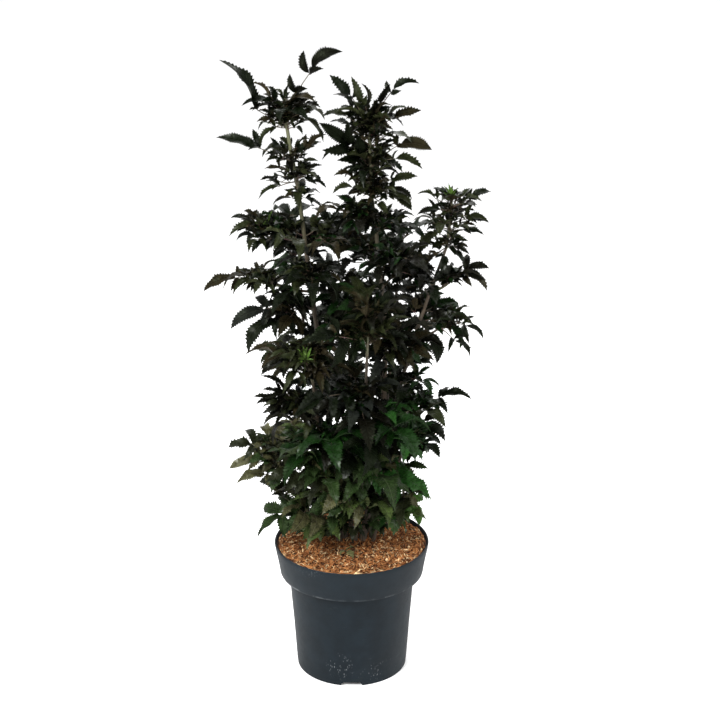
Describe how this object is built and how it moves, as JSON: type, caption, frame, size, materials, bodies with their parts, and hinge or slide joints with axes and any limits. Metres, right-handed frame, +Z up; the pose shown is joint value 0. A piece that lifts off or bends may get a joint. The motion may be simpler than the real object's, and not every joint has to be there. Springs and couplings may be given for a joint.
{
  "type": "potted black elder",
  "caption": "Black elder shrub with several woody stems and dark divided leaves, in a round nursery pot with a deep collar and bark mulch on top.",
  "frame": {"origin": "middle of the flat pad on the pot's underside, on the floor", "axes": "+Z up along the pot's axis, +X to the right as seen in the picture, -Y towards the camera"},
  "size_m": [0.5475, 0.5161, 1.245],
  "materials": {
    "pot": "satin, slightly worn along the collar's lower edge",
    "mulch": "loose shredded bark",
    "bark": "rough, with small raised pores",
    "leaf": "purple-black, slightly glossy",
    "low_leaf": "dark green, slightly glossy"
  },
  "bodies": {
    "root": {"pot": "pot", "soil": "mulch", "stem_left": "bark", "stem_middle": "bark", "stem_right": "bark", "stem_front_left": "bark", "stem_front_middle": "bark", "stem_front_right": "bark", "stem_back_left": "bark", "stem_back_middle": "bark", "stem_back_right": "bark", "bough_left": "bark", "bough_right": "bark", "bough_low_left": "bark", "foliage_left_top": "leaf", "foliage_middle_top": "leaf", "foliage_right_top": "leaf", "foliage_front_left_top": "leaf", "foliage_front_middle_top": "leaf", "foliage_front_right_top": "leaf", "foliage_back_left_top": "leaf", "foliage_back_middle_top": "leaf", "foliage_back_right_top": "leaf", "foliage_left_a": "leaf", "foliage_left_b": "leaf", "foliage_left_c": "leaf", "foliage_left_d": "leaf", "foliage_left_e": "leaf", "foliage_left_f": "leaf", "foliage_left_g": "leaf", "foliage_left_outer": "leaf", "foliage_middle_a": "leaf", "foliage_middle_b": "leaf", "foliage_middle_c": "leaf", "foliage_middle_d": "leaf", "foliage_middle_e": "leaf", "foliage_middle_f": "leaf", "foliage_right_a": "leaf", "foliage_right_b": "leaf", "foliage_right_c": "leaf", "foliage_right_d": "leaf", "foliage_right_e": "leaf", "foliage_right_outer": "leaf", "foliage_front_left_a": "leaf", "foliage_front_left_b": "leaf", "foliage_front_left_c": "low_leaf", "foliage_low_left_outer": "low_leaf", "foliage_front_middle_a": "leaf", "foliage_front_middle_b": "leaf", "foliage_front_middle_c": "low_leaf", "foliage_front_right_a": "low_leaf", "foliage_back_left_a": "leaf", "foliage_back_left_b": "low_leaf", "foliage_back_middle_a": "leaf", "foliage_back_right_a": "leaf", "foliage_back_right_b": "low_leaf", "foliage_foot_left": "low_leaf", "foliage_foot_front": "low_leaf", "foliage_foot_right": "low_leaf", "foliage_foot_back": "low_leaf"}
  },
  "joints": []
}
